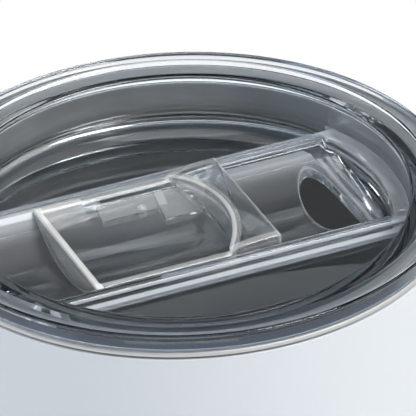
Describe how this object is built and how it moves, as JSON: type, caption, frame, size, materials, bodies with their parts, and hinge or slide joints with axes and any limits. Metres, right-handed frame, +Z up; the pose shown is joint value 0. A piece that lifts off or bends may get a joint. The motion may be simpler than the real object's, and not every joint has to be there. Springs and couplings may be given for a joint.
{
  "type": "insulated tumbler with lid",
  "caption": "Straight double-wall steel tumbler with a clear press-in lid whose sliding closure opens and shuts a drink hole.",
  "frame": {"origin": "centre of the base on the surface it stands on", "axes": "+Z up along the tumbler, +X along the lid's channel from the thumb recess to the drink hole"},
  "size_m": [0.074, 0.074, 0.2056],
  "materials": {
    "white_coat": "glossy white coating",
    "bare_steel": "polished to fine-brushed stainless steel",
    "solder": "dark glass solder",
    "getter": "matte pressed metal powder",
    "clear_plastic": "clear glossy moulding",
    "clear_silicone": "translucent silicone"
  },
  "bodies": {
    "tumbler": {"outer_shell": "white_coat", "inner_liner": "bare_steel", "shell_bottom": "bare_steel", "base_cover": "bare_steel", "seal_bead": "solder", "getter_holder": "bare_steel", "getter_pellet": "getter"},
    "lid": {"lid_body": "clear_plastic", "lid_gasket": "clear_silicone"},
    "slider": {"slider": "clear_plastic"}
  },
  "joints": [
    {"name": "lid_lift", "type": "slide", "parent": "tumbler", "child": "lid", "axis": [0, 0, 1], "range_m": [0, 0.03]},
    {"name": "slider_slide", "type": "slide", "parent": "lid", "child": "slider", "axis": [1, 0, 0], "range_m": [0, 0.016]}
  ]
}
